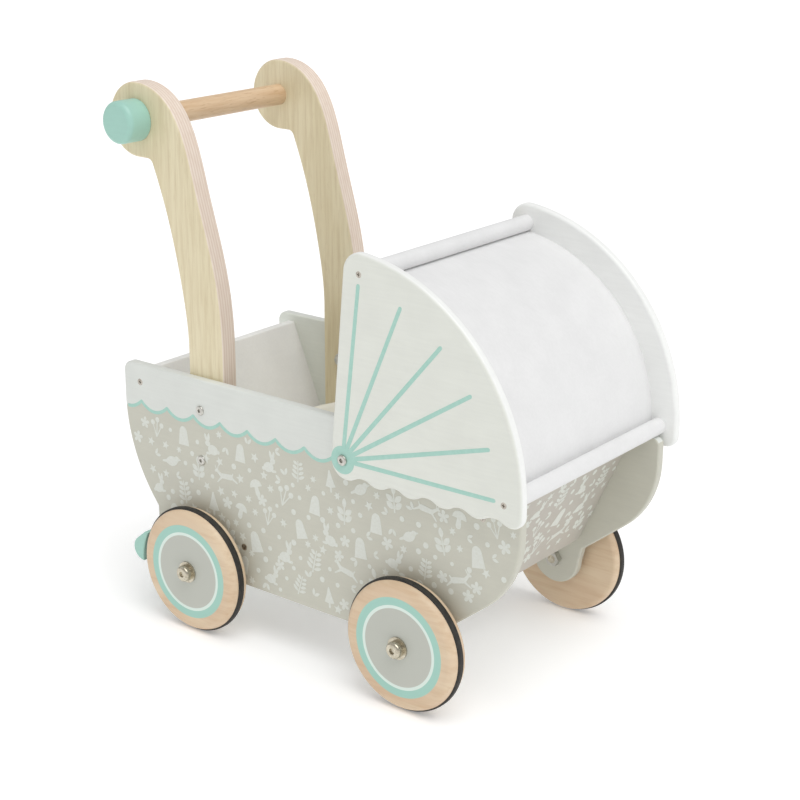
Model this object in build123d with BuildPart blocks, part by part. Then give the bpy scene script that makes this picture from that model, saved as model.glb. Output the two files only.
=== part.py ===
from build123d import *

import os
from math import acos, atan2, cos, degrees, hypot, radians, sin, sqrt, tan

# A wooden doll's pram: a boat-shaped plywood body on four rubber-tyred wheels, with a fan-sided
# folding hood, a push handle on two curved arms, a foot brake and bedding.
#
# Millimetres. +X points to the hood end, +Y to the pram's left, +Z up. Side views are drawn on
# planes whose origin is midway between the axles at axle height: x runs forward from there and
# h runs up from there, so a bigger wheel lifts the whole pram.

# ---------------------------------------------------------------- driving dimensions
# wheels
tyre_dia = 120.0
tyre_wall = 4.0
tyre_width = 6.6
tyre_round = 1.8
rim_lip = 1.6  # the tyre stands this far proud of the wood beside it
rim_round = 7.5
inner_rim_round = 4.5
wheel_thick = 18.8
wheelbase = 246.5
wheel_gap = 5.6  # body side to the wheel's inner face

# axle bolts, one in each wheel
axle_dia = 8.0
running_fit = 0.05  # radial, wheel on its bolt
end_play = 0.2  # wheel between its spacer and its washer
hub_washer_dia = 20.0
hub_washer_thick = 1.2
cap_dia = 15.0
cap_height = 6.8
cap_round = 2.6
cap_dimple_dia = 5.6
cap_dimple_depth = 1.6
spacer_dia = 18.0
axle_nut_dia = 15.0
axle_nut_thick = 6.5

# body
body_width = 224.4  # over the two side panels
side_thick = 9.0
edge_round = 2.0
brim_h = 180.0
brim_bend_r = 60.0
brim_front_x = 60.0  # where the brim starts to fall towards the hood's ledge
ledge_gap = 0.3  # under the closed hood's front rail
ledge_clear = 1.5  # ledge's rear end, inside the skin
ledge_corner_r = 8.0
body_rear_x = -222.3
stern_corner_r = 10.0
stern_straight = 35.0  # upright run under the brim, before the stern's curve
body_front_x = 227.6
bow_corner_r = 7.0
bow_straight = 23.5  # upright run under the ledge, before the bow's curve
jaw_reach = 41.5  # the straight from the chin up to the bow's curve
jaw_rise = 33.1
chin_ahead = 3.7  # of the front board's foot
chin_below = 10.1
belly_h = -8.0
lug_dia = 50.0
nick_r = 5.0  # where a lug meets the belly
ear_reach = 18.6  # behind the brake pivot
ear_rise = 26.6  # above it
ear_corner_r = 22.0
ear_nick_r = 4.0
board_thick = 9.0
board_foot_h = 25.5
front_board_foot_x = 148.5  # outer face
front_board_lean = 24.8
front_board_top_h = 137.0
rear_board_foot_x = -141.0  # inner face
rear_board_lean = 22.1
rear_board_top_h = 172.0

# push handle
arm_thick = 18.0
arm_foot_h = 82.0
arm_foot_corner_r = 10.0
arm_front_x = -103.0
arm_width = 42.4
head_x = -200.0
head_h = 405.0
head_dia = 67.0
# the arm's bends, ahead of the head's centre and above it
arm_bend_start = -203.0
arm_brow = (41.0, 15.0)
arm_front_bends = [(69.4, -54.0), (90.6, -132.3)]
arm_back_bends = [(48.6, -147.8), (27.6, -64.7)]
arm_neck_ahead = 16.0
arm_neck_r = 7.0
rod_dia = 20.0
tenon_dia = 12.0
knob_dia = 38.0
knob_length = 25.0
knob_round = 5.0
knob_inner_round = 1.0
arm_bolt_dia = 5.0
arm_bolt_spacing = 48.1
arm_bolt_top_h = 150.6
arm_washer_dia = 13.0
arm_washer_thick = 0.9
arm_head_dia = 9.0
arm_head_height = 1.6
arm_head_round = 1.1
arm_socket_dia = 3.8
arm_socket_depth = 1.3
arm_nut_dia = 10.0
arm_nut_thick = 3.0

# hood
hood_x = 54.3
hood_h = 148.7
hood_dia = 364.0
hood_gap = 3.4  # body side to hood panel
hood_thick = 9.0
hood_edge_round = 3.0
rail_inset = 17.5  # a rail's centre, inside the hood's rim
rail_dia = 15.0
rear_rail_angle = 83.7
front_rail_angle = 0.2
skin_thick = 2.5
rail_seat = 0.6  # how deep the skin sits in each rail
hem_drop = 18.1  # the hem's low points, below the pivot
hem_corner_r = 10.5
hem_lobe_x = 2.8  # the rearmost lobe's low point, ahead of the pivot
scallop_length = 34.0  # nearly: the hem holds a whole number of waves
scallop_depth = 4.6
pivot_dia = 6.0
pivot_head_dia = 9.6
pivot_head_height = 2.0
pivot_head_round = 1.3
pivot_socket_dia = 4.4
pivot_socket_depth = 1.5
pivot_nut_dia = 12.0
pivot_nut_thick = 5.0
pivot_washer_dia = 22.0
screw_cross_width = 0.9
screw_cross_depth = 1.0
rail_screw_dia = 3.0
rail_screw_head_dia = 5.6
rail_screw_length = 25.0

# foot brake
brake_pivot_back = 42.75  # behind the rear axle
brake_pivot_h = 16.0
brake_eye_dia = 24.0
brake_bolt_dia = 5.0
brake_head_dia = 9.6
brake_head_height = 2.6
brake_head_round = 1.2
brake_nut_dia = 10.0
brake_nut_thick = 4.0
brake_bar_dia = 10.0
brake_rest_gap = 6.5  # between the bar and the tyre
brake_thick = 9.0
brake_side_gap = 0.4
brake_cheek_dia = 20.0  # the lever's end, round the bar
brake_round = 1.5
brake_travel = 11.0  # degrees
shoe_overlap = 4.0  # a shoe's outer face past the tyre's middle
shoe_width = 12.0
shoe_wall = 4.0  # over the bar's end
shoe_dia = 24.0
shoe_ahead = 6.75  # the round end's centre, from the bar's
shoe_above = 3.5
shoe_tip_dia = 8.0
shoe_tip_ahead = 12.25
shoe_tip_above = 18.4
shoe_clear = 0.5  # from the tyre, all through the travel

# screws through the side panels into the boards
wood_screw_dia = 3.2
wood_screw_head_dia = 6.4
wood_screw_length = 30.0
board_screw_inset = 10.0
floor_screw_x = 74.0  # ahead of mid-axle and behind it

# bedding
mattress_thick = 20.0
mattress_clear = 3.0
mattress_corner_r = 12.0
mattress_round = 6.0
pad_corner_r = 24.0
pad_round = 16.0
pillow_front_gap = 4.0
pillow_thick = 50.0
pillow_length = 118.0
pillow_width = 160.0
quilt_thick = 62.0
quilt_length = 166.0
quilt_width = 176.0
quilt_rear_x = -52.0
bedding_gap = 0.6

# ---------------------------------------------------------------- worked out from those
tyre_r = tyre_dia / 2
axle_z = tyre_r
front_axle_x = wheelbase / 2
rear_axle_x = -wheelbase / 2
rear_most = head_x - head_dia / 2
front_most = hood_x + hood_dia / 2
origin_x = (front_most + rear_most) / 2  # the model's origin, from midway between the axles

side_y = body_width / 2
inner_y = side_y - side_thick
wheel_in_y = side_y + wheel_gap
wheel_out_y = wheel_in_y + wheel_thick
wheel_mid_y = wheel_in_y + wheel_thick / 2
wood_r = tyre_r - rim_lip
hub_washer_y = wheel_out_y + end_play
cap_y = hub_washer_y + hub_washer_thick
cap_end_y = cap_y + cap_height
arm_in_y = inner_y - arm_thick
hood_in_y = side_y + hood_gap
hood_out_y = hood_in_y + hood_thick
brake_pivot_x = rear_axle_x - brake_pivot_back
brake_bar_x = rear_axle_x - tyre_r - brake_rest_gap - brake_bar_dia / 2
brake_out_y = inner_y - brake_side_gap
brake_in_y = brake_out_y - brake_thick
ear_x = brake_pivot_x - ear_reach
rail_radius = hood_dia / 2 - rail_inset
skin_radius = rail_radius - rail_dia / 2 + rail_seat
ledge_h = hood_h + rail_radius * sin(radians(front_rail_angle)) - rail_dia / 2 - ledge_gap

LEFT, RIGHT = 1, -1
SIDES = {"left": LEFT, "right": RIGHT}
AXLES = {"front": front_axle_x, "rear": rear_axle_x}


def side_plane(y):
    """The side view at one y: local x forward and local y up, from mid-axle at axle height."""
    return Plane(origin=(-origin_x, y, axle_z), x_dir=(1, 0, 0), z_dir=(0, -1, 0))


def about_hood(radius, degrees):
    """A side-view point at a radius and an angle from the hood's pivot."""
    return hood_x + radius * cos(radians(degrees)), hood_h + radius * sin(radians(degrees))


def on_lean(foot_x, lean, h):
    """A side-view point at height h on a board face that leans away from its foot."""
    return foot_x + (h - board_foot_h) * tan(radians(lean)), h


axle_points = [(front_axle_x, 0), (rear_axle_x, 0)]
arm_mid_x = arm_front_x - arm_width / 2
arm_bolt_points = [(arm_mid_x, arm_bolt_top_h), (arm_mid_x, arm_bolt_top_h - arm_bolt_spacing)]
hood_pivot = (hood_x, hood_h)
brake_pivot = (brake_pivot_x, brake_pivot_h)
rail_points = [about_hood(rail_radius, rear_rail_angle), about_hood(rail_radius, front_rail_angle)]

# each board's own middle line, on which its screws sit
front_mid_x = front_board_foot_x - board_thick / 2 / cos(radians(front_board_lean))
rear_mid_x = rear_board_foot_x - board_thick / 2 / cos(radians(rear_board_lean))
board_screw_points = [
    on_lean(front_mid_x, front_board_lean, front_board_top_h - board_screw_inset),
    on_lean(front_mid_x, front_board_lean, board_foot_h + board_screw_inset),
    on_lean(rear_mid_x, -rear_board_lean, rear_board_top_h - board_screw_inset),
    on_lean(rear_mid_x, -rear_board_lean, board_foot_h + board_screw_inset),
]
floor_screw_h = board_foot_h + board_thick / 2
floor_screw_points = [(floor_screw_x, floor_screw_h), (-floor_screw_x, floor_screw_h)]
screw_points = board_screw_points + floor_screw_points
wood_screw_head_thick = wood_screw_head_dia / 4
rail_screw_head_thick = rail_screw_head_dia / 4


def discs(points, radius, y_start, y_end, mode=Mode.ADD):
    """Round bars or bores across the pram at side-view points, from one y to another."""
    with BuildSketch(side_plane(y_start)) as rounds:
        with Locations(*points):
            Circle(radius)
    extrude(rounds.sketch, amount=y_start - y_end, mode=mode)


def nuts(points, across, y_start, y_end, mode=Mode.ADD):
    """Hexagons across the pram at side-view points, from one y to another."""
    with BuildSketch(side_plane(y_start)) as hexagons:
        with Locations(*points):
            RegularPolygon(across / 2, 6)
    extrude(hexagons.sketch, amount=y_start - y_end, mode=mode)


def crosses(points, length, y_start, y_end):
    """Cross-shaped driver recesses at side-view points, from one y to another."""
    with BuildSketch(side_plane(y_start)) as slots:
        with Locations(*points):
            Rectangle(length, screw_cross_width)
            Rectangle(screw_cross_width, length)
    extrude(slots.sketch, amount=y_start - y_end, mode=Mode.SUBTRACT)


def round_rims(part, radius, y_plane):
    """Rounds the circular edges that lie at one y."""
    rims = part.edges().filter_by(GeomType.CIRCLE)
    fillet([e for e in rims if abs(e.center().Y - y_plane) < 0.01], radius)


def soften(part, radius):
    """Rounds the outlines of a flat panel's two faces."""
    faces = part.faces().filter_by(Axis.Y).sort_by(Axis.Y)
    fillet(faces[0].outer_wire().edges() + faces[-1].outer_wire().edges(), radius)


def corner(sketch, x, h):
    """The sketch's vertex nearest to a side-view point."""
    return sketch.vertices().sort_by_distance((x, h, 0))[0]


def finish(piece, name):
    piece.part.label = name
    export_step(piece.part, f"parts/{name}.step")


os.makedirs("parts", exist_ok=True)


# ---------------------------------------------------------------- body
def make_side_panel(name, side):
    """A boat-shaped plywood side, with a round lug at the front axle and a long ear at the rear."""
    front_foot = on_lean(front_board_foot_x, front_board_lean, board_foot_h)
    chin = (front_foot[0] + chin_ahead, front_foot[1] - chin_below)
    jaw = (chin[0] + jaw_reach, chin[1] + jaw_rise)
    bow = (body_front_x, ledge_h - bow_straight)
    stern = (body_rear_x, brim_h - stern_straight)
    ledge_x = about_hood(skin_radius - skin_thick - ledge_clear, 0)[0]
    ear_top_h = brake_pivot_h + ear_rise
    with BuildPart() as panel:
        with BuildSketch(side_plane(side * side_y)) as outline:
            with BuildLine():
                Polyline((body_rear_x, brim_h), (brim_front_x, brim_h), (ledge_x, ledge_h),
                         (body_front_x, ledge_h), bow)
                TangentArc(bow, jaw, tangent=(0, -1))
                Polyline(jaw, chin, (front_axle_x + lug_dia / 2, 0), (front_axle_x, belly_h),
                         (ear_x, belly_h), (ear_x, ear_top_h))
                TangentArc(stern, (ear_x, ear_top_h), tangent=(0, -1))
                Line(stern, (body_rear_x, brim_h))
            make_face()
            with Locations(*axle_points):
                Circle(lug_dia / 2)
            fillet(corner(outline, body_rear_x, brim_h), stern_corner_r)
            fillet(corner(outline, body_front_x, ledge_h), bow_corner_r)
            fillet(corner(outline, ledge_x, ledge_h), ledge_corner_r)
            fillet(corner(outline, brim_front_x, brim_h), brim_bend_r)
            fillet(corner(outline, ear_x, belly_h), ear_corner_r)
            fillet(corner(outline, ear_x, ear_top_h), ear_nick_r)
            fillet(corner(outline, *chin), nick_r)
            notch = sqrt((lug_dia / 2) ** 2 - belly_h**2)
            for x in (front_axle_x - notch, rear_axle_x + notch, rear_axle_x - notch):
                fillet(corner(outline, x, belly_h), nick_r)
            with Locations(*axle_points):
                Circle(axle_dia / 2, mode=Mode.SUBTRACT)
            with Locations(*arm_bolt_points):
                Circle(arm_bolt_dia / 2, mode=Mode.SUBTRACT)
            with Locations(hood_pivot):
                Circle(pivot_dia / 2, mode=Mode.SUBTRACT)
            with Locations(brake_pivot):
                Circle(brake_bolt_dia / 2, mode=Mode.SUBTRACT)
            with Locations(*screw_points):
                Circle(wood_screw_dia / 2, mode=Mode.SUBTRACT)
        extrude(amount=side * side_thick)
        soften(panel, edge_round)
        # seats for the screws' flat heads
        seat = side * (side_y - wood_screw_head_thick)
        discs(screw_points, wood_screw_head_dia / 2, side * side_y, seat, Mode.SUBTRACT)
    finish(panel, name)


for word, side in SIDES.items():
    make_side_panel(f"{word}_side_panel", side)

front_out = [on_lean(front_board_foot_x, front_board_lean, h) for h in (board_foot_h, front_board_top_h)]
front_level = board_thick / cos(radians(front_board_lean))
front_in = [(x - front_level, h) for x, h in front_out]
rear_in = [on_lean(rear_board_foot_x, -rear_board_lean, h) for h in (board_foot_h, rear_board_top_h)]
rear_level = board_thick / cos(radians(rear_board_lean))
rear_out = [(x - rear_level, h) for x, h in rear_in]


def screw_bores(points):
    """Bores for the shanks of the wood screws, in both ends of a board."""
    depth = wood_screw_length - side_thick
    for side in SIDES.values():
        discs(points, wood_screw_dia / 2, side * inner_y, side * (inner_y - depth), Mode.SUBTRACT)


with BuildPart() as front_board:
    with BuildSketch(side_plane(inner_y)):
        with BuildLine():
            Polyline(front_out[0], front_out[1], front_in[1], front_in[0], close=True)
        make_face()
    extrude(amount=2 * inner_y)
    fillet(front_board.faces().sort_by(Axis.Z)[-1].edges().filter_by(Axis.Y), edge_round)
    screw_bores(board_screw_points[:2])
finish(front_board, "front_board")

with BuildPart() as rear_board:
    with BuildSketch(side_plane(inner_y)):
        with BuildLine():
            Polyline(rear_in[0], rear_in[1], rear_out[1], rear_out[0], close=True)
        make_face()
    extrude(amount=2 * inner_y)
    fillet(rear_board.faces().sort_by(Axis.Z)[-1].edges().filter_by(Axis.Y), edge_round)
    screw_bores(board_screw_points[2:])
finish(rear_board, "rear_board")

floor_top_h = board_foot_h + board_thick
with BuildPart() as floor_board:
    with BuildSketch(side_plane(inner_y)):
        with BuildLine():
            Polyline(
                front_in[0],
                (on_lean(front_board_foot_x, front_board_lean, floor_top_h)[0] - front_level, floor_top_h),
                on_lean(rear_board_foot_x, -rear_board_lean, floor_top_h),
                rear_in[0],
                close=True,
            )
        make_face()
    extrude(amount=2 * inner_y)
    screw_bores(floor_screw_points)
finish(floor_board, "floor_board")


def make_wood_screws(name, points):
    """Flat-headed screws through both side panels, one solid each."""
    with BuildPart() as screws:
        for side in SIDES.values():
            head_y = side * (side_y - wood_screw_head_thick)
            shank_end = side * (side_y - wood_screw_length)
            discs(points, wood_screw_head_dia / 2, side * side_y, head_y)
            discs(points, wood_screw_dia / 2, head_y, shank_end)
            cross_y = side * (side_y - screw_cross_depth)
            crosses(points, wood_screw_dia, side * side_y, cross_y)
    finish(screws, name)


make_wood_screws("front_board_screws", board_screw_points[:2])
make_wood_screws("rear_board_screws", board_screw_points[2:])
make_wood_screws("floor_board_screws", floor_screw_points)


# ---------------------------------------------------------------- push handle
def make_handle_arm(name, side):
    """A curved plywood arm that widens into a round head, bolted inside a side panel."""
    back_x = arm_front_x - arm_width
    head_r = head_dia / 2
    bend_h = head_h + arm_bend_start
    neck = (head_x + arm_neck_ahead, head_h - head_r)
    brow = (head_x + arm_brow[0], head_h + arm_brow[1])
    front_bends = [(head_x + x, head_h + h) for x, h in arm_front_bends]
    back_bends = [(head_x + x, head_h + h) for x, h in arm_back_bends]
    with BuildPart() as arm:
        with BuildSketch(side_plane(side * inner_y)) as outline:
            with BuildLine():
                head = ThreePointArc((head_x, head_h - head_r), (head_x - head_r, head_h),
                                     (head_x, head_h + head_r))
                crest = TangentArc(head @ 1, brow, tangent=head % 1)
                Spline(brow, *front_bends, (arm_front_x, bend_h), tangents=(crest % 1, (0, -1)))
                Polyline((arm_front_x, bend_h), (arm_front_x, arm_foot_h), (back_x, arm_foot_h),
                         (back_x, bend_h))
                Spline((back_x, bend_h), *back_bends, neck, tangents=((0, 1), (-0.35, 0.94)))
                Line(neck, head @ 0)
            make_face()
            fillet(corner(outline, *neck), arm_neck_r)
            fillet(corner(outline, arm_front_x, arm_foot_h), arm_foot_corner_r)
            fillet(corner(outline, back_x, arm_foot_h), arm_foot_corner_r)
            with Locations((head_x, head_h)):
                Circle(tenon_dia / 2, mode=Mode.SUBTRACT)
            with Locations(*arm_bolt_points):
                Circle(arm_bolt_dia / 2, mode=Mode.SUBTRACT)
        extrude(amount=side * arm_thick)
        soften(arm, edge_round)
    finish(arm, name)


for word, side in SIDES.items():
    make_handle_arm(f"{word}_handle_arm", side)

tenon_y = inner_y + knob_length / 2
with BuildPart() as handle_rod:
    discs([(head_x, head_h)], rod_dia / 2, arm_in_y, -arm_in_y)
    discs([(head_x, head_h)], tenon_dia / 2, tenon_y, -tenon_y)
finish(handle_rod, "handle_rod")


def make_handle_knob(name, side):
    """A turned end knob with a blind bore for the rod's tenon."""
    out_y = side * (inner_y + knob_length)
    with BuildPart() as knob:
        discs([(head_x, head_h)], knob_dia / 2, side * inner_y, out_y)
        round_rims(knob, knob_round, out_y)
        round_rims(knob, knob_inner_round, side * inner_y)
        discs([(head_x, head_h)], tenon_dia / 2, side * inner_y, side * tenon_y, Mode.SUBTRACT)
    finish(knob, name)


for word, side in SIDES.items():
    make_handle_knob(f"{word}_handle_knob", side)

arm_head_y = side_y + arm_head_height
arm_socket_y = arm_head_y - arm_socket_depth
arm_washer_y = arm_in_y - arm_washer_thick
arm_nut_y = arm_washer_y - arm_nut_thick
with BuildPart() as arm_bolts:
    for side in SIDES.values():
        discs(arm_bolt_points, arm_bolt_dia / 2, side * side_y, side * arm_nut_y)
        discs(arm_bolt_points, arm_head_dia / 2, side * arm_head_y, side * side_y)
        round_rims(arm_bolts, arm_head_round, side * arm_head_y)
        nuts(arm_bolt_points, arm_socket_dia, side * arm_head_y, side * arm_socket_y, Mode.SUBTRACT)
finish(arm_bolts, "arm_bolts")

with BuildPart() as arm_washers:
    for side in SIDES.values():
        discs(arm_bolt_points, arm_washer_dia / 2, side * arm_in_y, side * arm_washer_y)
        discs(arm_bolt_points, arm_bolt_dia / 2, side * arm_in_y, side * arm_washer_y, Mode.SUBTRACT)
finish(arm_washers, "arm_washers")

with BuildPart() as arm_nuts:
    for side in SIDES.values():
        nuts(arm_bolt_points, arm_nut_dia, side * arm_washer_y, side * arm_nut_y)
        discs(arm_bolt_points, arm_bolt_dia / 2, side * arm_washer_y, side * arm_nut_y, Mode.SUBTRACT)
finish(arm_nuts, "arm_nuts")


# ---------------------------------------------------------------- wheels
def make_wheel(name, side, x):
    """A turned wooden disc with rounded rims, a groove for its tyre and a plain bore."""
    groove = tyre_width / 2
    with BuildPart() as wheel:
        discs([(x, 0)], wood_r, side * wheel_in_y, side * wheel_out_y)
        round_rims(wheel, inner_rim_round, side * wheel_in_y)
        round_rims(wheel, rim_round, side * wheel_out_y)
        with BuildSketch(side_plane(side * (wheel_mid_y + groove))):
            with Locations((x, 0)):
                Circle(tyre_r)
                Circle(tyre_r - tyre_wall, mode=Mode.SUBTRACT)
        extrude(amount=side * tyre_width, mode=Mode.SUBTRACT)
        bore = axle_dia / 2 + running_fit
        discs([(x, 0)], bore, side * wheel_in_y, side * wheel_out_y, Mode.SUBTRACT)
    finish(wheel, name)


def make_tyre(name, side, x):
    """A rubber band seated in the wheel's groove."""
    groove = tyre_width / 2
    with BuildPart() as tyre:
        with BuildSketch(side_plane(side * (wheel_mid_y + groove))):
            with Locations((x, 0)):
                Circle(tyre_r)
                Circle(tyre_r - tyre_wall, mode=Mode.SUBTRACT)
        extrude(amount=side * tyre_width)
        rims = tyre.edges().filter_by(GeomType.CIRCLE)
        fillet([e for e in rims if e.radius > tyre_r - 0.01], tyre_round)
    finish(tyre, name)


for end, x in AXLES.items():
    for word, side in SIDES.items():
        make_wheel(f"{end}_{word}_wheel", side, x)
        make_tyre(f"{end}_{word}_tyre", side, x)

axle_nut_y = inner_y - axle_nut_thick
with BuildPart() as axle_bolts:
    for side in SIDES.values():
        discs(axle_points, axle_dia / 2, side * cap_y, side * axle_nut_y)
        discs(axle_points, cap_dia / 2, side * cap_end_y, side * cap_y)
        round_rims(axle_bolts, cap_round, side * cap_end_y)
        dimple_y = cap_end_y - cap_dimple_depth
        discs(axle_points, cap_dimple_dia / 2, side * cap_end_y, side * dimple_y, Mode.SUBTRACT)
finish(axle_bolts, "axle_bolts")

with BuildPart() as hub_washers:
    for side in SIDES.values():
        discs(axle_points, hub_washer_dia / 2, side * hub_washer_y, side * cap_y)
        discs(axle_points, axle_dia / 2, side * hub_washer_y, side * cap_y, Mode.SUBTRACT)
finish(hub_washers, "hub_washers")

spacer_y = wheel_in_y - end_play
with BuildPart() as axle_spacers:
    for side in SIDES.values():
        discs(axle_points, spacer_dia / 2, side * side_y, side * spacer_y)
        discs(axle_points, axle_dia / 2, side * side_y, side * spacer_y, Mode.SUBTRACT)
finish(axle_spacers, "axle_spacers")

with BuildPart() as axle_nuts:
    for side in SIDES.values():
        nuts(axle_points, axle_nut_dia, side * inner_y, side * axle_nut_y)
        discs(axle_points, axle_dia / 2, side * inner_y, side * axle_nut_y, Mode.SUBTRACT)
finish(axle_nuts, "axle_nuts")


# ---------------------------------------------------------------- hood
tip = rail_points[0]
tip_r = hood_dia / 2 - rail_radius
hem_low_h = hood_h - hem_drop
hem_centre_h = hem_low_h + hem_corner_r
hem_centre_x = hood_x + sqrt((hood_dia / 2 - hem_corner_r) ** 2 - (hem_centre_h - hood_h) ** 2)
hem_centre = (hem_centre_x, hem_centre_h)
hem_corner_angle = degrees(atan2(hem_centre_h - hood_h, hem_centre_x - hood_x))

# the hem is a wave of equal arcs, and its rearmost lobe runs on round the pivot
lobe_x = hood_x + hem_lobe_x
scallop_count = round((hem_centre_x - lobe_x) / scallop_length)
scallop_pitch = (hem_centre_x - lobe_x) / scallop_count
quarter = scallop_pitch / 4
wave_r = (quarter**2 + (scallop_depth / 2) ** 2) / scallop_depth
lobe_centre = (lobe_x, hem_low_h + wave_r)
lobe_to_tip = (tip[0] - lobe_centre[0], tip[1] - lobe_centre[1])
rear_normal = degrees(atan2(lobe_to_tip[1], lobe_to_tip[0]))
rear_normal += degrees(acos((wave_r - tip_r) / hypot(*lobe_to_tip)))


def around(centre, radius, angle):
    """A side-view point at a radius and an angle, in degrees, from a centre."""
    return centre[0] + radius * cos(radians(angle)), centre[1] + radius * sin(radians(angle))


def make_hood_panel(name, side):
    """A quarter-round plywood fan about the pivot, with a scalloped lower edge."""
    with BuildPart() as fan:
        with BuildSketch(side_plane(side * hood_out_y)):
            with BuildLine():
                ThreePointArc(*[around(hood_pivot, hood_dia / 2, a)
                                for a in (hem_corner_angle, rear_rail_angle / 2, rear_rail_angle)])
                ThreePointArc(*[around(tip, tip_r, a)
                                for a in (rear_rail_angle, (rear_rail_angle + rear_normal) / 2, rear_normal)])
                Line(around(tip, tip_r, rear_normal), around(lobe_centre, wave_r, rear_normal))
                middle_h = hem_low_h + scallop_depth / 2
                top_h = hem_low_h + scallop_depth
                ThreePointArc(around(lobe_centre, wave_r, rear_normal),
                              (lobe_x, hem_low_h), (lobe_x + quarter, middle_h))
                for n in range(scallop_count):
                    x = lobe_x + n * scallop_pitch
                    ThreePointArc((x + quarter, middle_h), (x + 2 * quarter, top_h),
                                  (x + 3 * quarter, middle_h))
                    if n < scallop_count - 1:
                        ThreePointArc((x + 3 * quarter, middle_h), (x + 4 * quarter, hem_low_h),
                                      (x + 5 * quarter, middle_h))
                hem_foot = (hem_centre_x, hem_low_h)
                TangentArc(hem_foot, (hem_centre_x - quarter, middle_h), tangent=(-1, 0))
                ThreePointArc(hem_foot, around(hem_centre, hem_corner_r, -45),
                              around(hem_centre, hem_corner_r, hem_corner_angle))
            make_face()
            with Locations(hood_pivot):
                Circle(pivot_dia / 2 + running_fit, mode=Mode.SUBTRACT)
            with Locations(*rail_points):
                Circle(rail_screw_dia / 2, mode=Mode.SUBTRACT)
        extrude(amount=side * hood_thick)
        soften(fan, hood_edge_round)
        seat = side * (hood_out_y - rail_screw_head_thick)
        discs(rail_points, rail_screw_head_dia / 2, side * hood_out_y, seat, Mode.SUBTRACT)
    finish(fan, name)


for word, side in SIDES.items():
    make_hood_panel(f"{word}_hood_panel", side)


def make_hood_rail(name, point):
    """A round rail between the hood panels, with a long seat for the skin on its inner side."""
    with BuildPart() as rail:
        discs([point], rail_dia / 2, hood_in_y, -hood_in_y)
        discs([hood_pivot], skin_radius, hood_in_y, -hood_in_y, Mode.SUBTRACT)
        depth = rail_screw_length - hood_thick
        for side in SIDES.values():
            discs([point], rail_screw_dia / 2, side * hood_in_y, side * (hood_in_y - depth), Mode.SUBTRACT)
    finish(rail, name)


make_hood_rail("hood_rear_rail", rail_points[0])
make_hood_rail("hood_front_rail", rail_points[1])

skin_lap = 2.6  # degrees past each rail's centre
with BuildPart() as hood_skin:
    with BuildSketch(side_plane(hood_in_y)):
        with BuildLine():
            ends = (rear_rail_angle + skin_lap, rear_rail_angle / 2, front_rail_angle - skin_lap)
            outer = [about_hood(skin_radius, a) for a in ends]
            inner = [about_hood(skin_radius - skin_thick, a) for a in ends]
            ThreePointArc(*outer)
            Line(outer[2], inner[2])
            ThreePointArc(*reversed(inner))
            Line(inner[0], outer[0])
        make_face()
    extrude(amount=2 * hood_in_y)
finish(hood_skin, "hood_skin")

with BuildPart() as hood_rail_screws:
    for side in SIDES.values():
        head_y = side * (hood_out_y - rail_screw_head_thick)
        discs(rail_points, rail_screw_head_dia / 2, side * hood_out_y, head_y)
        discs(rail_points, rail_screw_dia / 2, head_y, side * (hood_out_y - rail_screw_length))
        cross_y = side * (hood_out_y - screw_cross_depth)
        crosses(rail_points, rail_screw_dia, side * hood_out_y, cross_y)
finish(hood_rail_screws, "hood_rail_screws")

pivot_head_y = hood_out_y + end_play + pivot_head_height
pivot_nut_y = inner_y - pivot_nut_thick
with BuildPart() as hood_pivot_bolts:
    for side in SIDES.values():
        discs([hood_pivot], pivot_dia / 2, side * (hood_out_y + end_play), side * pivot_nut_y)
        discs([hood_pivot], pivot_head_dia / 2, side * pivot_head_y, side * (hood_out_y + end_play))
        round_rims(hood_pivot_bolts, pivot_head_round, side * pivot_head_y)
        socket_y = pivot_head_y - pivot_socket_depth
        nuts([hood_pivot], pivot_socket_dia, side * pivot_head_y, side * socket_y, Mode.SUBTRACT)
finish(hood_pivot_bolts, "hood_pivot_bolts")

pivot_washer_y = hood_in_y - end_play
with BuildPart() as hood_pivot_washers:
    for side in SIDES.values():
        discs([hood_pivot], pivot_washer_dia / 2, side * side_y, side * pivot_washer_y)
        discs([hood_pivot], pivot_dia / 2, side * side_y, side * pivot_washer_y, Mode.SUBTRACT)
finish(hood_pivot_washers, "hood_pivot_washers")

with BuildPart() as hood_pivot_nuts:
    for side in SIDES.values():
        nuts([hood_pivot], pivot_nut_dia, side * inner_y, side * pivot_nut_y)
        discs([hood_pivot], pivot_dia / 2, side * inner_y, side * pivot_nut_y, Mode.SUBTRACT)
finish(hood_pivot_nuts, "hood_pivot_nuts")


# ---------------------------------------------------------------- foot brake
brake_bar_point = (brake_bar_x, 0)
shoe_out_y = wheel_mid_y + shoe_overlap
shoe_in_y = shoe_out_y - shoe_width
shoe_bore_y = shoe_out_y - shoe_wall


def before_press(x, h):
    """Where a side-view point lies, seen from the pressed brake."""
    back_x, back_h = x - brake_pivot_x, h - brake_pivot_h
    turn = radians(brake_travel)
    return (brake_pivot_x + back_x * cos(turn) + back_h * sin(turn),
            brake_pivot_h - back_x * sin(turn) + back_h * cos(turn))


def make_brake_lever(name, side):
    """A flat lever inside a side panel's ear, from its pivot to the bar."""
    with BuildPart() as lever:
        with BuildSketch(side_plane(side * brake_out_y)):
            with Locations(brake_pivot):
                Circle(brake_eye_dia / 2)
            with Locations(brake_bar_point):
                Circle(brake_cheek_dia / 2)
            make_hull()
            with Locations(brake_pivot):
                Circle(brake_bolt_dia / 2 + running_fit, mode=Mode.SUBTRACT)
            with Locations(brake_bar_point):
                Circle(brake_bar_dia / 2, mode=Mode.SUBTRACT)
        extrude(amount=side * brake_thick)
        soften(lever, brake_round)
    finish(lever, name)


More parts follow.
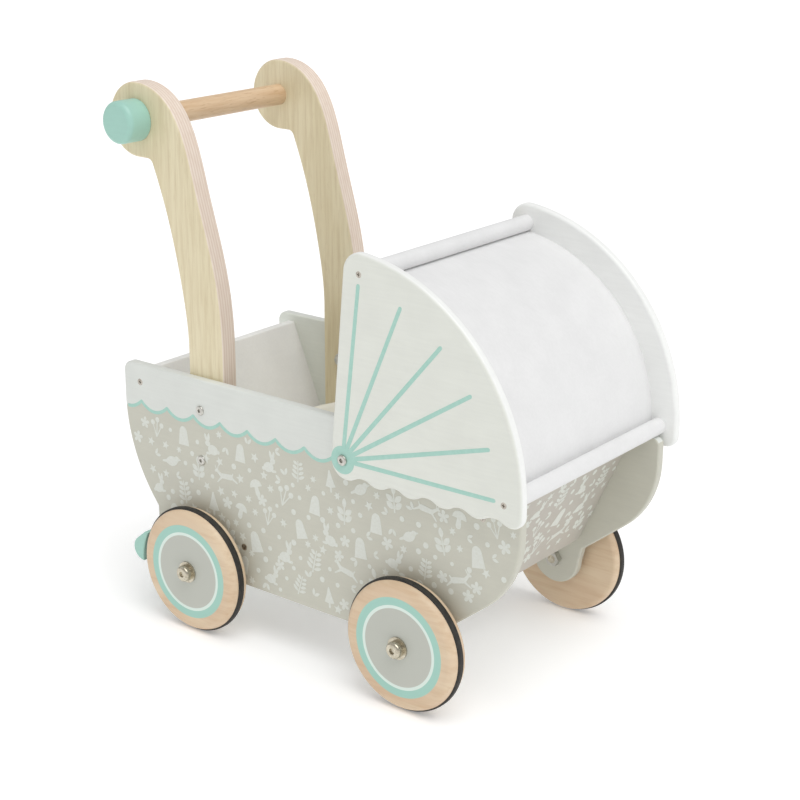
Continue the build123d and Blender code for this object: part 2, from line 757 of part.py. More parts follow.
def make_brake_shoe(name, side):
    """A wooden block on the bar's end, hollowed to the tyre as it stands when the brake is pressed."""
    with BuildPart() as shoe:
        with BuildSketch(side_plane(side * shoe_out_y)):
            with Locations((brake_bar_x + shoe_ahead, shoe_above)):
                Circle(shoe_dia / 2)
            with Locations((brake_bar_x + shoe_tip_ahead, shoe_tip_above)):
                Circle(shoe_tip_dia / 2)
            make_hull()
            with Locations((rear_axle_x, 0), before_press(rear_axle_x, 0)):
                Circle(tyre_r + shoe_clear, mode=Mode.SUBTRACT)
        extrude(amount=side * shoe_width)
        soften(shoe, brake_round)
        discs([brake_bar_point], brake_bar_dia / 2, side * shoe_bore_y, side * shoe_in_y, Mode.SUBTRACT)
    finish(shoe, name)


for word, side in SIDES.items():
    make_brake_lever(f"{word}_brake_lever", side)
    make_brake_shoe(f"{word}_brake_shoe", side)

with BuildPart() as brake_bar:
    discs([brake_bar_point], brake_bar_dia / 2, shoe_bore_y, -shoe_bore_y)
finish(brake_bar, "brake_bar")

brake_head_y = side_y + brake_head_height
brake_nut_y = brake_in_y - end_play
brake_end_y = brake_nut_y - brake_nut_thick
with BuildPart() as brake_pivot_bolts:
    for side in SIDES.values():
        discs([brake_pivot], brake_bolt_dia / 2, side * side_y, side * brake_end_y)
        discs([brake_pivot], brake_head_dia / 2, side * brake_head_y, side * side_y)
        round_rims(brake_pivot_bolts, brake_head_round, side * brake_head_y)
finish(brake_pivot_bolts, "brake_pivot_bolts")

with BuildPart() as brake_pivot_nuts:
    for side in SIDES.values():
        nuts([brake_pivot], brake_nut_dia, side * brake_nut_y, side * brake_end_y)
        discs([brake_pivot], brake_bolt_dia / 2, side * brake_nut_y, side * brake_end_y, Mode.SUBTRACT)
finish(brake_pivot_nuts, "brake_pivot_nuts")


# ---------------------------------------------------------------- bedding
def level_block(x_low, x_high, width, h_low, thick):
    """A square-edged block, by its ends, its width and the height it rests at."""
    middle = Location(((x_low + x_high) / 2 - origin_x, 0, axle_z + h_low + thick / 2))
    with Locations(middle):
        Box(x_high - x_low, width, thick)


mattress_h = floor_top_h
mattress_top_h = mattress_h + mattress_thick
with BuildPart() as mattress:
    half = inner_y - mattress_clear
    with BuildSketch(side_plane(half)):
        with BuildLine():
            front_foot = on_lean(front_board_foot_x, front_board_lean, mattress_h)[0]
            rear_foot = on_lean(rear_board_foot_x, -rear_board_lean, mattress_h)[0]
            front_edge = front_foot - front_level - mattress_clear
            rear_edge = rear_foot + mattress_clear
            Polyline((front_edge, mattress_h), (front_edge, mattress_top_h), (rear_edge, mattress_top_h),
                     (rear_edge, mattress_h), close=True)
        make_face()
    extrude(amount=2 * half)
    fillet(mattress.edges().filter_by(Axis.Z), mattress_corner_r)
    fillet(mattress.faces().sort_by(Axis.Z)[-1].edges(), mattress_round)
finish(mattress, "mattress")

pillow_h = mattress_top_h + bedding_gap
pillow_front_x = front_edge - pillow_front_gap
with BuildPart() as pillow:
    level_block(pillow_front_x - pillow_length, pillow_front_x, pillow_width, pillow_h, pillow_thick)
    fillet(pillow.edges().filter_by(Axis.Z), pad_corner_r)
    fillet(pillow.faces().sort_by(Axis.Z)[-1].edges(), pad_round)
finish(pillow, "pillow")

quilt_h = pillow_h + pillow_thick + bedding_gap
with BuildPart() as quilt:
    level_block(quilt_rear_x, quilt_rear_x + quilt_length, quilt_width, quilt_h, quilt_thick)
    fillet(quilt.edges().filter_by(Axis.Z), pad_corner_r)
    fillet(quilt.faces().sort_by(Axis.Z)[-1].edges(), pad_round)
finish(quilt, "quilt")
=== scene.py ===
"""Looks for a wooden doll's pram: paint, print, plywood, rubber, plated bolts and cotton bedding.

Everything is in metres in the frame's own axes: +X to the hood end, +Y to the pram's left, +Z up.
Each new surface is a numpy grid or outline, and its docstring says what formula it follows.
"""
import math

import bmesh
import bpy
import numpy as np
from mathutils import Matrix, Vector


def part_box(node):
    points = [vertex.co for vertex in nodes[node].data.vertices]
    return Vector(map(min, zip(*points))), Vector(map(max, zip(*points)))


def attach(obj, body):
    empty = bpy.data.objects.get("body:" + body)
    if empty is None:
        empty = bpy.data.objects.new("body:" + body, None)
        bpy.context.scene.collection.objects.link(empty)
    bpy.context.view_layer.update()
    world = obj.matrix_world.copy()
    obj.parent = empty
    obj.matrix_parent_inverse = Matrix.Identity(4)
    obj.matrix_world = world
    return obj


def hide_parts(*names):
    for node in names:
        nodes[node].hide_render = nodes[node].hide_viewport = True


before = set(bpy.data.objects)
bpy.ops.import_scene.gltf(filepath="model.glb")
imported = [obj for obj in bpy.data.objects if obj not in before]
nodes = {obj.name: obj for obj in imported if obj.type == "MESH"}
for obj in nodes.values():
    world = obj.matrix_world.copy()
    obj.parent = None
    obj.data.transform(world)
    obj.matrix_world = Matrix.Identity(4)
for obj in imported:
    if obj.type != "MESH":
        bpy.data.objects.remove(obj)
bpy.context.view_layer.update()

MM = 0.001
BODY = "pram_body"


# ---------------------------------------------------------------- places, from the frame
def low(node):
    return np.array(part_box(node)[0])


def high(node):
    return np.array(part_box(node)[1])


def centre(node):
    return (low(node) + high(node)) / 2


front_axle = centre("front_right_tyre")
rear_axle = centre("rear_right_tyre")
mid_x = (front_axle[0] + rear_axle[0]) / 2
axle_z = front_axle[2]
brim_z = high("right_side_panel")[2]
side_y = high("left_side_panel")[1]
inner_y = low("left_side_panel")[1]
pivot = centre("hood_pivot_bolts")
hood_y = high("left_hood_panel")[1]

# the scalloped edge of the white band on the body sides
scallop_pitch = 33.5 * MM
scallop_depth = 7.5 * MM
scallop_top_z = brim_z - 36.5 * MM
scallop_cusp_x = mid_x + 0.5 * MM
trim_width = 3.2 * MM

# the sides' outline, from midway between the axles at axle height: circles as (x, z, radius)
belly_h = -8 * MM
stern_circle = (-64.4 * MM, 145 * MM, 157.9 * MM)
bow_circle = (139.4 * MM, 118 * MM, 88.2 * MM)
chin_foot = (152.2 * MM, 15.4 * MM)
chin_slope = 0.7976
rear_end, front_end = -222.3 * MM, 227.6 * MM

# the rings painted on a wheel, by radius
mint_ring, white_ring, grey_disc = 45.2 * MM, 38.2 * MM, 35.4 * MM

# the fan on a hood panel: the disc's radius, and the bars' ends and half widths, in millimetres
fan_disc = 12.5
fan_bar = (13, 0, 155, 0, 2.0, 1.75)

# the foot and the lean of the front board's outer face
board_lean = math.radians(24.8)
board_foot = np.array([mid_x + 148.5 * MM, 0, low("front_board")[2]])


# ---------------------------------------------------------------- meshes
def mesh_piece(name, points, faces, smooth=True):
    """An object from an (n, 3) array of points and an (m, k) array of faces."""
    points = np.asarray(points, dtype=np.float32).reshape(-1, 3)
    faces = np.asarray(faces, dtype=np.int32)
    count, size = faces.shape
    mesh = bpy.data.meshes.new(name)
    mesh.vertices.add(len(points))
    mesh.vertices.foreach_set("co", points.ravel())
    mesh.loops.add(count * size)
    mesh.loops.foreach_set("vertex_index", faces.ravel())
    mesh.polygons.add(count)
    mesh.polygons.foreach_set("loop_start", np.arange(count, dtype=np.int32) * size)
    mesh.polygons.foreach_set("use_smooth", np.full(count, smooth))
    mesh.update(calc_edges=True)
    mesh.validate()
    piece = bpy.data.objects.new(name, mesh)
    bpy.context.scene.collection.objects.link(piece)
    return piece


def grid_faces(rows, cols, wrap_rows=False, wrap_cols=False):
    """Quads over a grid of points, joined round where asked."""
    r, c = np.meshgrid(np.arange(rows if wrap_rows else rows - 1),
                       np.arange(cols if wrap_cols else cols - 1), indexing="ij")
    r2, c2 = (r + 1) % rows, (c + 1) % cols
    return np.stack([r * cols + c, r2 * cols + c, r2 * cols + c2, r * cols + c2], -1).reshape(-1, 4)


class Painted:
    """Thin flat shapes printed on a plane. Each shape is a raised plate whose rim sinks into the surface.
    Neighbours are raised by slightly different amounts, so that crossing shapes are never coplanar."""

    layer_step = 0.03 * MM
    stack_step, stack_size = 0.006 * MM, 12
    bevel = 0.1 * MM

    def __init__(self, origin, right, up, lift=0.12 * MM):
        self.origin, self.right, self.up = (np.asarray(v, float) for v in (origin, right, up))
        self.out = np.cross(self.right, self.up)
        self.lift, self.sink = lift, 0.05 * MM
        self.points, self.faces, self.count, self.stacked = [], [], 0, 0

    def place(self, flat, height):
        """Flat (n, 2) points in metres on the plane, raised by a height."""
        return self.origin + flat[:, :1] * self.right + flat[:, 1:] * self.up + height * self.out

    def blob(self, outline, layer=0):
        """A plate with a star-shaped outline: a fan to its middle, and a thin bevel down into the surface."""
        k = len(outline)
        middle = outline.mean(axis=0)
        size = np.abs(outline - middle).max()
        inner = middle + (outline - middle) * (1 - min(0.25, self.bevel / size))
        lift = self.lift + layer * self.layer_step
        lift += self.stacked % self.stack_size * self.stack_step
        self.stacked += 1
        self.points += [self.place(middle[None], lift), self.place(inner, lift)]
        self.points.append(self.place(outline, -self.sink))
        i = np.arange(k)
        j = (i + 1) % k
        ring, rim = self.count + 1, self.count + 1 + k
        self.faces += [
            np.stack([np.full(k, self.count), ring + i, ring + j], -1),
            np.stack([ring + i, rim + i, rim + j], -1),
            np.stack([ring + i, rim + j, ring + j], -1),
        ]
        self.count += 1 + 2 * k

    def band(self, lower, upper, layer=0):
        """A strip between two curves of equal length, with both rims sunk."""
        lift = self.lift + layer * self.layer_step
        width = np.linalg.norm(upper - lower, axis=1, keepdims=True)
        across = (upper - lower) / width * self.bevel
        rows = [self.place(lower, -self.sink), self.place(lower + across, lift),
                self.place(upper - across, lift), self.place(upper, -self.sink)]
        n = len(lower)
        self.points += rows
        quads = grid_faces(4, n)[:, ::-1] + self.count
        self.faces += [quads[:, [0, 1, 2]], quads[:, [0, 2, 3]]]
        self.count += 4 * n

    def piece(self, name):
        return mesh_piece(name, np.concatenate(self.points), np.concatenate(self.faces), smooth=False)


# ---------------------------------------------------------------- printed motifs, in millimetres
def turn(points, degrees):
    a = math.radians(degrees)
    return points @ np.array([[math.cos(a), math.sin(a)], [-math.sin(a), math.cos(a)]])


def oval(x, y, a, b, degrees=0, count=14):
    """An ellipse: (a cos t, b sin t), turned and moved."""
    t = np.linspace(0, 2 * np.pi, count, endpoint=False)
    return turn(np.stack([a * np.cos(t), b * np.sin(t)], -1), degrees) + (x, y)


def leaf(x, y, a, b, degrees=0):
    """A pointed leaf: an ellipse whose height falls to a point at both ends."""
    t = np.linspace(0, 2 * np.pi, 14, endpoint=False)
    return turn(np.stack([a * np.cos(t), b * np.sin(t) * np.abs(np.sin(t)) ** 0.6], -1), degrees) + (x, y)


def limb(x0, y0, x1, y1, w0, w1):
    """A tapered bar with round ends, of half widths w0 and w1."""
    along = math.degrees(math.atan2(y1 - y0, x1 - x0))
    t = np.radians(np.linspace(90, 270, 5))
    start = np.stack([np.cos(t), np.sin(t)], -1) * w0
    length = math.hypot(x1 - x0, y1 - y0)
    end = np.stack([-np.cos(t), -np.sin(t)], -1) * w1 + (length, 0)
    return turn(np.concatenate([start, end]), along) + (x0, y0)


def star(x, y, r, points=5, deep=0.45):
    """A star: the radius alternates between r and deep r."""
    t = np.arange(2 * points) * np.pi / points + np.pi / 2
    radius = np.where(np.arange(2 * points) % 2 == 0, r, r * deep)
    return np.stack([radius * np.cos(t), radius * np.sin(t)], -1) + (x, y)


def sprig():
    leaves = [leaf(s * 3.0, y, 3.2, 1.9, 90 - s * 50) for y in (-3.0, 1.2) for s in (-1, 1)]
    return [limb(0, -7, 0, 4.6, 0.5, 0.4), leaf(0, 6.6, 3.2, 1.7, 90)] + leaves


def fern():
    blades = [leaf(s * (3.1 - 0.3 * k), -4 + 3.1 * k, 2.9 - 0.3 * k, 1.15, 90 - s * 60)
              for k in range(4) for s in (-1, 1)]
    return [limb(0, -7.4, 0, 6.8, 0.5, 0.35)] + blades


def berries():
    stems = [limb(0, -6, x, y, 0.45, 0.35) for x, y in ((-3.6, 2.2), (0.2, 4.8), (3.8, 1.8))]
    return stems + [oval(-4, 3.4, 1.9, 1.9), oval(0.2, 6.2, 1.9, 1.9), oval(4.2, 2.9, 1.9, 1.9)]


def hut():
    """A round-topped hut: straight sides that lean in under a half-round roof."""
    t = np.linspace(0.15, np.pi - 0.15, 9)
    roof = np.stack([3.3 * np.cos(t), 2.2 + 4.2 * np.sin(t)], -1)
    return [np.concatenate([[(-4.6, -6.6), (4.6, -6.6)], roof])]


def fir():
    """A fir: a tall rounded triangle on a short trunk."""
    skirt = [(-4.2, -4.6), (0, -5.4), (4.2, -4.6)]
    crown = [(2.2, 0.6), (0.5, 6.6), (-0.5, 6.6), (-2.2, 0.6)]
    return [limb(0, -7.8, 0, -5.0, 0.8, 0.8), np.array(skirt + crown)]


def mushroom():
    t = np.linspace(0, np.pi, 12)
    cap = np.stack([5.0 * np.cos(t), 4.8 * np.sin(t)], -1)
    return [cap, limb(0, -4.6, 0, 0.6, 1.9, 1.4)]


def stag():
    """A leaping stag: a sloping body, thrown legs, a raised neck and two antlers."""
    body = limb(-4.4, 0.2, 3.6, 1.6, 2.0, 1.7)
    neck = limb(3.8, 1.8, 6.6, 5.0, 1.3, 0.9)
    head = oval(7.4, 5.4, 1.7, 1.0, -10)
    antlers = [limb(6.4, 5.8, 4.8, 8.6, 0.4, 0.3), limb(7.2, 6.0, 7.4, 8.8, 0.4, 0.3)]
    legs = [limb(-5.2, -0.4, -9.0, -3.8, 0.9, 0.5), limb(4.0, 0.6, 8.4, -2.2, 0.8, 0.45)]
    tail = limb(-5.6, 1.0, -7.0, 2.6, 0.6, 0.4)
    return [body, neck, head, *antlers, *legs, tail]


def hare():
    """A sitting hare: a round back, a head and two tall ears."""
    return [oval(-1, -2.2, 4.2, 3.3, 8), oval(3.0, 1.6, 2.2, 1.9, 10), leaf(2.0, 5.4, 3.2, 1.1, 98),
            leaf(4.2, 5.2, 3.0, 1.0, 74), oval(-5.4, -3.2, 1.3, 1.3), limb(2.0, -4.6, 4.2, -4.8, 1.0, 0.8)]


def bird():
    return [leaf(0, 0, 5.6, 3.4, 14), oval(4.2, 2.3, 2.0, 1.9), limb(-3.6, -0.6, -7.8, -1.6, 1.2, 0.7),
            leaf(6.6, 2.3, 1.2, 0.7, 0)]


def flower():
    petals = [oval(2.7 * math.cos(a), 2.7 * math.sin(a), 1.8, 1.35, math.degrees(a))
              for a in np.arange(5) * 2 * np.pi / 5 + 0.3]
    return petals + [oval(0, 0, 1.6, 1.6)]


def dot(radius):
    return [oval(0, 0, radius, radius)]


LARGE = (stag, sprig, hut, hare, fern, fir, bird, sprig, stag, mushroom, berries, hut, hare, fern)
SMALL = (lambda: dot(2.0), lambda: [star(0, 0, 3.6)], lambda: dot(1.6), flower, lambda: dot(2.1),
         lambda: [leaf(-1.5, 0, 2.6, 1.2, 60), leaf(1.6, 0, 2.6, 1.2, 120)], lambda: dot(1.7),
         lambda: [star(0, 0, 3.0, 6, 0.5)])


def print_motifs(sheet, low_corner, high_corner, inside, seed):
    """Large motifs on a staggered lattice with small ones between, kept where their shapes fall inside."""
    rng = np.random.default_rng(seed)
    pitch_x, pitch_y = 35.0 * MM, 27.0 * MM
    deck = 0

    def stamp(shapes, spot, grow, spin, flip):
        placed = [(turn(shape * (flip, 1), spin) * grow * MM + spot)[::flip] for shape in shapes]
        if inside(np.concatenate(placed)).all():
            for shape in placed:
                sheet.blob(shape)

    for row, v in enumerate(np.arange(low_corner[1], high_corner[1] + pitch_y, pitch_y)):
        for u in np.arange(low_corner[0], high_corner[0] + pitch_x, pitch_x):
            shift = pitch_x / 2 if row % 2 else 0
            spot = np.array([u + shift, v]) + rng.uniform(-1.8, 1.8, 2) * MM
            deck += 1 if rng.random() < 0.75 else 4
            small = rng.integers(len(SMALL), size=3)
            grow, spin, flip = rng.uniform(1.3, 1.55), rng.uniform(-20, 20), int(rng.choice((-1, 1)))
            stamp(LARGE[deck % len(LARGE)](), spot, grow, spin, flip)
            gaps = ((pitch_x * 0.5, rng.uniform(-4, 4) * MM), (pitch_x * 0.28, pitch_y * 0.5),
                    (-pitch_x * 0.22, pitch_y * 0.52))
            for kind, gap in zip(small, gaps):
                stamp(SMALL[kind](), spot + gap, rng.uniform(1.2, 1.45), rng.uniform(0, 360), 1)


# ---------------------------------------------------------------- materials
def linear(r, g, b):
    """An sRGB colour of 0 to 255 as linear RGBA."""
    c = np.array([r, g, b]) / 255
    c = np.where(c <= 0.04045, c / 12.92, ((c + 0.055) / 1.055) ** 2.4)
    return (*c.tolist(), 1.0)


class Finish:
    """A material and short ways of adding nodes to it."""

    def __init__(self, name, roughness=0.5, **sockets):
        self.material = bpy.data.materials.new(name)
        self.material.use_nodes = True
        self.tree = self.material.node_tree
        self.tree.nodes.clear()
        out = self.tree.nodes.new("ShaderNodeOutputMaterial")
        self.shader = self.tree.nodes.new("ShaderNodeBsdfPrincipled")
        self.tree.links.new(self.shader.outputs[0], out.inputs[0])
        self.shader.inputs["Roughness"].default_value = roughness
        for socket, value in sockets.items():
            self.shader.inputs[socket.replace("_", " ")].default_value = value
        coords = self.tree.nodes.new("ShaderNodeTexCoord")
        self.spot, self.normal = coords.outputs["Object"], coords.outputs["Normal"]

    def add(self, kind, inputs=(), **settings):
        node = self.tree.nodes.new("ShaderNode" + kind)
        for key, value in settings.items():
            setattr(node, key, value)
        for key, value in dict(inputs).items():
            if isinstance(value, bpy.types.NodeSocket):
                self.tree.links.new(value, node.inputs[key])
            else:
                node.inputs[key].default_value = value
        return node

    def math(self, operation, a, b=0.0, c=0.0, clamp=False):
        return self.add("Math", {0: a, 1: b, 2: c}, operation=operation, use_clamp=clamp).outputs[0]

    def axes(self, vector=None):
        return self.add("SeparateXYZ", {0: vector or self.spot}).outputs

    def noise(self, scale, stretch=(1, 1, 1), detail=3.0, rough=0.55, turn=(0, 0, 0), distortion=0.0):
        """Noise over the piece, finer along an axis where stretch is larger, 0 to 1."""
        placed = self.add("Mapping", {"Vector": self.spot, "Scale": stretch, "Rotation": turn}).outputs[0]
        return self.add("TexNoise", {"Vector": placed, "Scale": scale, "Detail": detail, "Roughness": rough,
                                     "Distortion": distortion}).outputs[0]

    def span(self, value, a, b, lo=0.0, hi=1.0, smooth=False):
        """A value mapped from a..b to lo..hi, clamped."""
        kind = "SMOOTHSTEP" if smooth else "LINEAR"
        ends = {"Value": value, "From Min": a, "From Max": b, "To Min": lo, "To Max": hi}
        return self.add("MapRange", ends, interpolation_type=kind).outputs[0]

    def mix(self, factor, a, b, kind="MIX"):
        node = self.add("Mix", data_type="RGBA", blend_type=kind)
        for index, value in ((0, factor), (6, a), (7, b)):
            if isinstance(value, bpy.types.NodeSocket):
                self.tree.links.new(value, node.inputs[index])
            else:
                node.inputs[index].default_value = value
        return node.outputs[2]

    def colour(self, value):
        if isinstance(value, bpy.types.NodeSocket):
            self.tree.links.new(value, self.shader.inputs["Base Color"])
        else:
            self.shader.inputs["Base Color"].default_value = value
        return self

    def rough(self, value):
        self.tree.links.new(value, self.shader.inputs["Roughness"])
        return self

    def bump(self, height, distance, strength=1.0):
        node = self.add("Bump", {"Height": height, "Distance": distance, "Strength": strength})
        self.tree.links.new(node.outputs[0], self.shader.inputs["Normal"])
        return self


def paint_surface(finish, base, roughness=0.42):
    """Brushed and sprayed paint over plywood: faint mottle, a trace of grain and fine orange peel."""
    mottle = finish.noise(38, detail=2.0)
    grain = finish.noise(60, stretch=(0.5, 6, 6), detail=4.0)
    peel = finish.noise(900, detail=1.0)
    tone = finish.span(mottle, 0.3, 0.7, 0.975, 1.015)
    streak = finish.span(grain, 0.35, 0.65, 0.985, 1.01)
    shade = finish.math("MULTIPLY", tone, streak)
    grey = finish.add("CombineXYZ", {0: shade, 1: shade, 2: shade}).outputs[0]
    tinted = finish.mix(1.0, base, grey, "MULTIPLY")
    finish.colour(tinted)
    finish.rough(finish.span(mottle, 0.3, 0.7, roughness - 0.05, roughness + 0.06))
    height = finish.math("MULTIPLY_ADD", grain, 0.7, finish.math("MULTIPLY", peel, 0.35))
    return finish.bump(height, 0.00012, 0.5)


def scallop_height(finish, x):
    """The trim's height: a parabola between cusps one pitch apart, lowest half way."""
    u = finish.math("FRACT", finish.math("DIVIDE", finish.math("SUBTRACT", x, scallop_cusp_x), scallop_pitch))
    arch = finish.math("MULTIPLY", u, finish.math("SUBTRACT", 1.0, u))
    return finish.math("SUBTRACT", scallop_top_z, finish.math("MULTIPLY", arch, 4 * scallop_depth))


GREIGE = linear(201, 200, 187)
BAND = linear(221, 224, 219)
SIDE_INNER = linear(230, 234, 226)
BOARD_INNER = linear(235, 235, 232)
MINT = linear(163, 207, 194)
PRINT = linear(221, 224, 217)
HOOD = linear(227, 229, 221)


def body_paint():
    """Warm grey below the scallops and white above them; paler inside, but the same grey below the
    boards and ahead of the front board, whose outer face leans forward by its slope times the height."""
    finish = Finish("body_paint")
    x, y, z = finish.axes()[:3]
    normal_y = finish.axes(finish.normal)[1]
    outward = finish.math("MULTIPLY", normal_y, finish.math("SIGN", y))
    above = finish.math("GREATER_THAN", z, scallop_height(finish, x))
    inside = finish.math("LESS_THAN", outward, -0.6)
    outside = finish.mix(above, GREIGE, BAND)
    slope = math.tan(board_lean)
    board_x = finish.math("MULTIPLY_ADD", z, slope, board_foot[0] - board_foot[2] * slope)
    below = finish.math("LESS_THAN", z, board_foot[2] + 0.5 * MM)
    ahead = finish.math("MAXIMUM", finish.math("GREATER_THAN", x, board_x), below)
    inner = finish.mix(ahead, SIDE_INNER, GREIGE)
    return paint_surface(finish, finish.mix(inside, outside, inner)).material


def hood_finish():
    """Off-white outer faces; the rounded rims and the inner faces are whiter."""
    finish = Finish("hood_paint")
    y = finish.axes()[1]
    normal_y = finish.axes(finish.normal)[1]
    rim = finish.span(finish.math("MULTIPLY", normal_y, finish.math("SIGN", y)), 0.35, 0.9, 1.0, 0.0)
    return paint_surface(finish, finish.mix(rim, HOOD, linear(242, 243, 241))).material


def plain_paint(name, colour, roughness=0.42):
    return paint_surface(Finish(name), colour, roughness).material


def print_ink():
    """Pale ink, slightly uneven."""
    finish = Finish("print_ink", roughness=0.5)
    patchy = finish.span(finish.noise(400, detail=2.0), 0.35, 0.7)
    return finish.colour(finish.mix(patchy, PRINT, linear(216, 218, 209))).material


def mint_line():
    finish = Finish("mint_line", roughness=0.4)
    patchy = finish.span(finish.noise(300, detail=2.0), 0.3, 0.7)
    return finish.colour(finish.mix(patchy, MINT, linear(172, 212, 200))).material


def birch_plywood():
    """Pale birch faces with fine upright fibres and broad figure; the cut edge shows pinkish layers."""
    finish = Finish("birch_plywood", roughness=0.45)
    y = finish.axes()[1]
    normal_y = finish.axes(finish.normal)[1]
    fibre = finish.noise(170, stretch=(1.6, 1.6, 0.09), detail=5.0, rough=0.65)
    figure = finish.noise(16, stretch=(1.5, 1.0, 0.25), detail=3.0, distortion=0.6)
    fleck = finish.noise(700, stretch=(1, 1, 0.12), detail=2.0)
    face = finish.mix(finish.span(figure, 0.3, 0.7), linear(233, 222, 190), linear(222, 209, 174))
    face = finish.mix(finish.span(fibre, 0.42, 0.68, 0, 0.55), face, linear(204, 186, 148))
    face = finish.mix(finish.span(fleck, 0.62, 0.75, 0, 0.25), face, linear(188, 162, 122))
    layers = finish.math("PINGPONG", finish.math("MULTIPLY", finish.math("ABSOLUTE", y), 1 / 0.0015), 1.0)
    edge = finish.mix(finish.span(layers, 0.3, 0.7), linear(238, 224, 210), linear(226, 207, 191))
    edge = finish.mix(finish.span(fibre, 0.4, 0.7, 0, 0.4), edge, linear(214, 190, 170))
    on_face = finish.span(finish.math("ABSOLUTE", normal_y), 0.55, 0.8)
    finish.colour(finish.mix(on_face, edge, face))
    finish.rough(finish.span(fibre, 0.3, 0.7, 0.4, 0.52))
    return finish.bump(fibre, 0.00015, 0.35).material


def turned_beech():
    """Pink-brown beech with short dark flecks along the rod."""
    finish = Finish("turned_beech", roughness=0.42)
    fibre = finish.noise(150, stretch=(1.5, 0.08, 1.5), detail=4.0, rough=0.6)
    fleck = finish.noise(900, stretch=(1, 0.1, 1), detail=1.0)
    base = finish.mix(finish.span(fibre, 0.35, 0.7), linear(226, 199, 166), linear(206, 172, 134))
    finish.colour(finish.mix(finish.span(fleck, 0.6, 0.72, 0, 0.45), base, linear(176, 136, 98)))
    return finish.bump(fibre, 0.0001, 0.3).material


def wheel_paint(name, axle):
    """A painted grey disc, a white ring and a mint ring inside a bare wood rim, by distance from the axle."""
    finish = Finish(name, roughness=0.42)
    x, y, z = finish.axes()[:3]
    normal_y = finish.axes(finish.normal)[1]
    outward = finish.math("GREATER_THAN", finish.math("MULTIPLY", normal_y, finish.math("SIGN", y)), 0.5)
    dx, dz = finish.math("SUBTRACT", x, axle[0]), finish.math("SUBTRACT", z, axle[2])
    squares = finish.math("ADD", finish.math("POWER", dx, 2.0), finish.math("POWER", dz, 2.0))
    radius = finish.math("SQRT", squares)
    fibre = finish.noise(120, stretch=(0.12, 1.2, 1.6), detail=4.0, rough=0.6)
    figure = finish.noise(20, stretch=(0.35, 1, 1.4), detail=3.0, distortion=0.5)
    wood = finish.mix(finish.span(figure, 0.3, 0.7), linear(226, 205, 176), linear(215, 187, 157))
    wood = finish.mix(finish.span(fibre, 0.45, 0.7, 0, 0.5), wood, linear(202, 168, 130))
    soft = 0.12 * MM

    def inside(limit):
        return finish.math("MULTIPLY", finish.span(radius, limit - soft, limit + soft, 1, 0), outward)

    colour = finish.mix(inside(mint_ring), wood, MINT)
    colour = finish.mix(inside(white_ring), colour, linear(222, 236, 228))
    colour = finish.mix(inside(grey_disc), colour, linear(190, 192, 183))
    finish.colour(colour)
    return finish.bump(fibre, 0.0001, 0.25).material


def rubber():
    finish = Finish("tyre_rubber", roughness=0.62)
    dust = finish.noise(220, detail=3.0)
    finish.colour(finish.mix(finish.span(dust, 0.4, 0.75), linear(34, 32, 29), linear(62, 58, 52)))
    finish.rough(finish.span(dust, 0.3, 0.7, 0.55, 0.75))
    return finish.bump(dust, 0.0001, 0.3).material


def plated(name, colour, worn, roughness):
    """Plated steel with fine turning marks and slight tarnish."""
    finish = Finish(name, roughness=roughness, Metallic=1.0)
    tarnish = finish.noise(260, detail=3.0)
    finish.colour(finish.mix(finish.span(tarnish, 0.35, 0.75), colour, worn))
    finish.rough(finish.span(tarnish, 0.3, 0.7, roughness - 0.06, roughness + 0.1))
    return finish.bump(finish.noise(1500, detail=1.0), 0.00003, 0.3).material


def nylon():
    finish = Finish("nylon", roughness=0.45)
    cloud = finish.noise(200, detail=2.0)
    return finish.colour(finish.mix(cloud, linear(238, 236, 228), linear(226, 224, 214))).material


def cotton(name, light, dark):
    """Plain-woven cotton: crossed threads from two sine waves on the cloth's own coordinates."""
    finish = Finish(name, roughness=0.9, Sheen_Weight=0.25, Sheen_Roughness=0.6)
    threads = 1 / 0.0007
    x, y, z = finish.axes()[:3]
    warp = finish.math("SINE", finish.math("MULTIPLY", finish.math("ADD", x, finish.math("MULTIPLY", z, 0.7)),
                                           threads * math.tau))
    weft = finish.math("SINE", finish.math("MULTIPLY", finish.math("ADD", y, finish.math("MULTIPLY", z, 0.7)),
                                           threads * math.tau))
    weave = finish.span(finish.math("MULTIPLY", warp, weft), -1, 1)
    slub = finish.noise(90, detail=4.0)
    finish.colour(finish.mix(finish.span(slub, 0.3, 0.7), light, dark))
    height = finish.math("ADD", finish.math("MULTIPLY", weave, 0.6), finish.math("MULTIPLY", slub, 0.8))
    return finish.bump(height, 0.0003, 0.5).material


# ---------------------------------------------------------------- dress the CAD nodes
def dress(names, material):
    for name in names:
        piece = nodes[name]
        piece.data.materials.clear()
        piece.data.materials.append(material)


side_names = ["left_side_panel", "right_side_panel"]
mint = plain_paint("mint_paint", MINT, 0.38)
hood_paint = hood_finish()
sheet_paint = plain_paint("hood_sheet_paint", linear(230, 230, 230), 0.45)
zinc = plated("zinc_plate", linear(208, 206, 200), linear(182, 180, 172), 0.34)
nickel = plated("nickel_plate", linear(206, 199, 182), linear(172, 163, 144), 0.26)
screw_steel = plated("screw_steel", linear(196, 190, 180), linear(160, 152, 142), 0.36)
dress(side_names, body_paint())
# the front board gets the greige body paint darkened: painted shade for the shade that falls on the board's
# face
dress(["front_board"], plain_paint("front_board_paint_with_painted_shade", linear(189, 184, 174)))
dress(["rear_board", "floor_board"], plain_paint("inner_paint", BOARD_INNER))
dress(["left_handle_arm", "right_handle_arm"], birch_plywood())
dress(["handle_rod"], turned_beech())
dress(["left_handle_knob", "right_handle_knob", "left_brake_lever", "right_brake_lever", "brake_bar",
       "left_brake_shoe", "right_brake_shoe"], mint)
dress(["arm_bolts", "arm_washers", "arm_nuts", "axle_nuts", "hood_pivot_nuts", "hood_pivot_bolts",
       "brake_pivot_bolts", "brake_pivot_nuts"], zinc)
dress(["axle_bolts", "hub_washers"], nickel)
